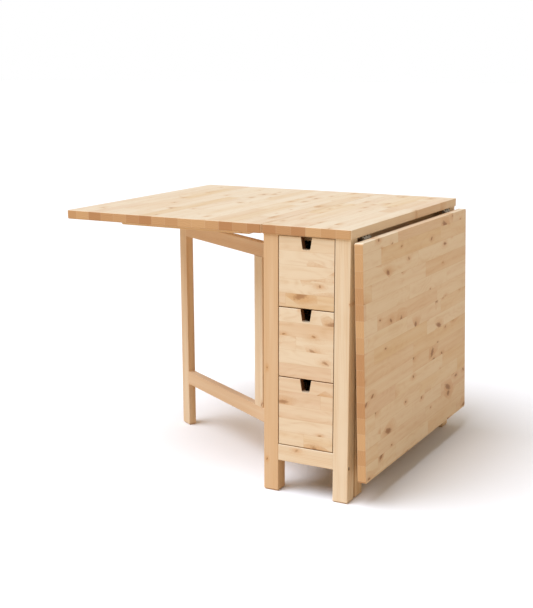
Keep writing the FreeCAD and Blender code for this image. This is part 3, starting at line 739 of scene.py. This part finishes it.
screw_steel = zinc_steel("screw_zinc")
screw_maker = screw_tree(screw_steel)
for name in ("carcass_screws", "left_leaf_screws", "right_leaf_screws", "left_gate_screws",
             "right_gate_screws"):
    places = screw_places(nodes[name])
    gathered = bmesh.new()
    for length in sorted({place[2] for place in places}):
        gathered.from_mesh(screws_of_length(screw_maker, places, length))
    mesh = bpy.data.meshes.new(name + "_detailed")
    gathered.to_mesh(mesh)
    gathered.free()
    mesh.materials.append(screw_steel)
    screws = bpy.data.objects.new(name + "_detailed", mesh)
    bpy.context.scene.collection.objects.link(screws)
    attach(screws, nodes[name]["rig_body"])
    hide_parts(name)


# --- Studio -----------------------------------------------------------------------------------
# The table stands on a plain white floor in a white studio. A broad soft key light comes from
# above, in front and to the left, and a weak warm fill from the right. From underneath the
# floor is clear.

STUDIO_GLOW = (0.42, 0.365, 0.30, 1.0)
BACKDROP_WHITE = (1.0, 1.0, 1.0, 1.0)
FLOOR_BOUNCE = (0.72, 0.58, 0.43, 1.0)
FLOOR_HALF = 60.0

floor_mesh = bpy.data.meshes.new("studio_floor")
corners = [(x * FLOOR_HALF, y * FLOOR_HALF, 0) for x, y in ((-1, -1), (1, -1), (1, 1), (-1, 1))]
floor_mesh.from_pydata(corners, [], [(0, 1, 2, 3)])
floor = bpy.data.objects.new("studio_floor", floor_mesh)
bpy.context.scene.collection.objects.link(floor)
floor_paint = bpy.data.materials.new("floor_paint")
floor_paint.use_nodes = True
paint_tree = floor_paint.node_tree
paint = paint_tree.nodes["Principled BSDF"]
floor_place = add(paint_tree, "ShaderNodeTexCoord").outputs["Object"]
floor_white = mixed(paint_tree, noise(paint_tree, floor_place, (3, 3, 3)), tint(248, 248, 247),
                    tint(252, 252, 252))
to_camera = add(paint_tree, "ShaderNodeLightPath").outputs["Is Camera Ray"]
paint_tree.links.new(mixed(paint_tree, to_camera, FLOOR_BOUNCE, floor_white),
                     paint.inputs["Base Color"])
paint.inputs["Roughness"].default_value = 0.9
paint.inputs["Specular IOR Level"].default_value = 0.1
clear = add(paint_tree, "ShaderNodeBsdfTransparent").outputs[0]
from_below = add(paint_tree, "ShaderNodeNewGeometry").outputs["Backfacing"]
seen = add(paint_tree, "ShaderNodeMixShader", {0: from_below, 1: paint.outputs[0], 2: clear})
paint_tree.links.new(seen.outputs[0], paint_tree.nodes["Material Output"].inputs["Surface"])
floor_mesh.materials.append(floor_paint)
floor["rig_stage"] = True

# The camera sees the backdrop pure white, and the table is lit by its softer, warmer glow.
world = bpy.data.worlds.new("studio")
world.use_nodes = True
backdrop = world.node_tree
to_camera = add(backdrop, "ShaderNodeLightPath").outputs["Is Camera Ray"]
backdrop.links.new(mixed(backdrop, to_camera, STUDIO_GLOW, BACKDROP_WHITE),
                   backdrop.nodes["Background"].inputs["Color"])
bpy.context.scene.world = world
bpy.context.scene.view_settings.view_transform = "Standard"


def soft_light(name, towards, power, colour, spread):
    """A broad, even light that shines from the way given, spread over so many degrees."""
    light = bpy.data.lights.new(name, "SUN")
    light.energy = power
    light.color = colour
    light.angle = math.radians(spread)
    lamp = bpy.data.objects.new(name, light)
    bpy.context.scene.collection.objects.link(lamp)
    lamp.rotation_euler = Vector(towards).to_track_quat("Z", "Y").to_euler()


soft_light("key_light", (-0.30, -0.37, 0.88), 3.0, (0.92, 0.99, 1.13), 50)
soft_light("warm_fill", (0.9, -0.2, 0.35), 0.12, (1.0, 0.78, 0.55), 60)


# --- Camera -----------------------------------------------------------------------------------
# The table is seen from its front right, from a little above its top. The camera's place is
# given from the middle of the centre top's plan, on the floor.

CAMERA_PLACE = Vector((1.2931, -3.0040, 1.1514))
CAMERA_YAW = 28.401
CAMERA_PITCH = 13.178
CAMERA_ROLL = -0.136

top_low, top_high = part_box("centre_top")
top_middle = (top_low.x + top_high.x) / 2
lens = bpy.data.cameras.new("camera")
lens.sensor_width = 36.0
lens.lens = 67.1
lens.shift_y = 0.041
lens.clip_start = 0.05
lens.clip_end = 200.0
camera = bpy.data.objects.new("camera", lens)
bpy.context.scene.collection.objects.link(camera)
tilt = Matrix.Rotation(math.radians(90 - CAMERA_PITCH), 4, "X")
yaw = Matrix.Rotation(math.radians(CAMERA_YAW), 4, "Z")
roll = Matrix.Rotation(math.radians(CAMERA_ROLL), 4, "Z")
stand = Matrix.Translation(CAMERA_PLACE + Vector((top_middle, 0, 0)))
camera.matrix_world = stand @ yaw @ tilt @ roll
bpy.context.scene.camera = camera


boxes = {"cad": cad_box, "visual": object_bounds()}
{name: [list(corner) for corner in box] for name, box in boxes.items()}
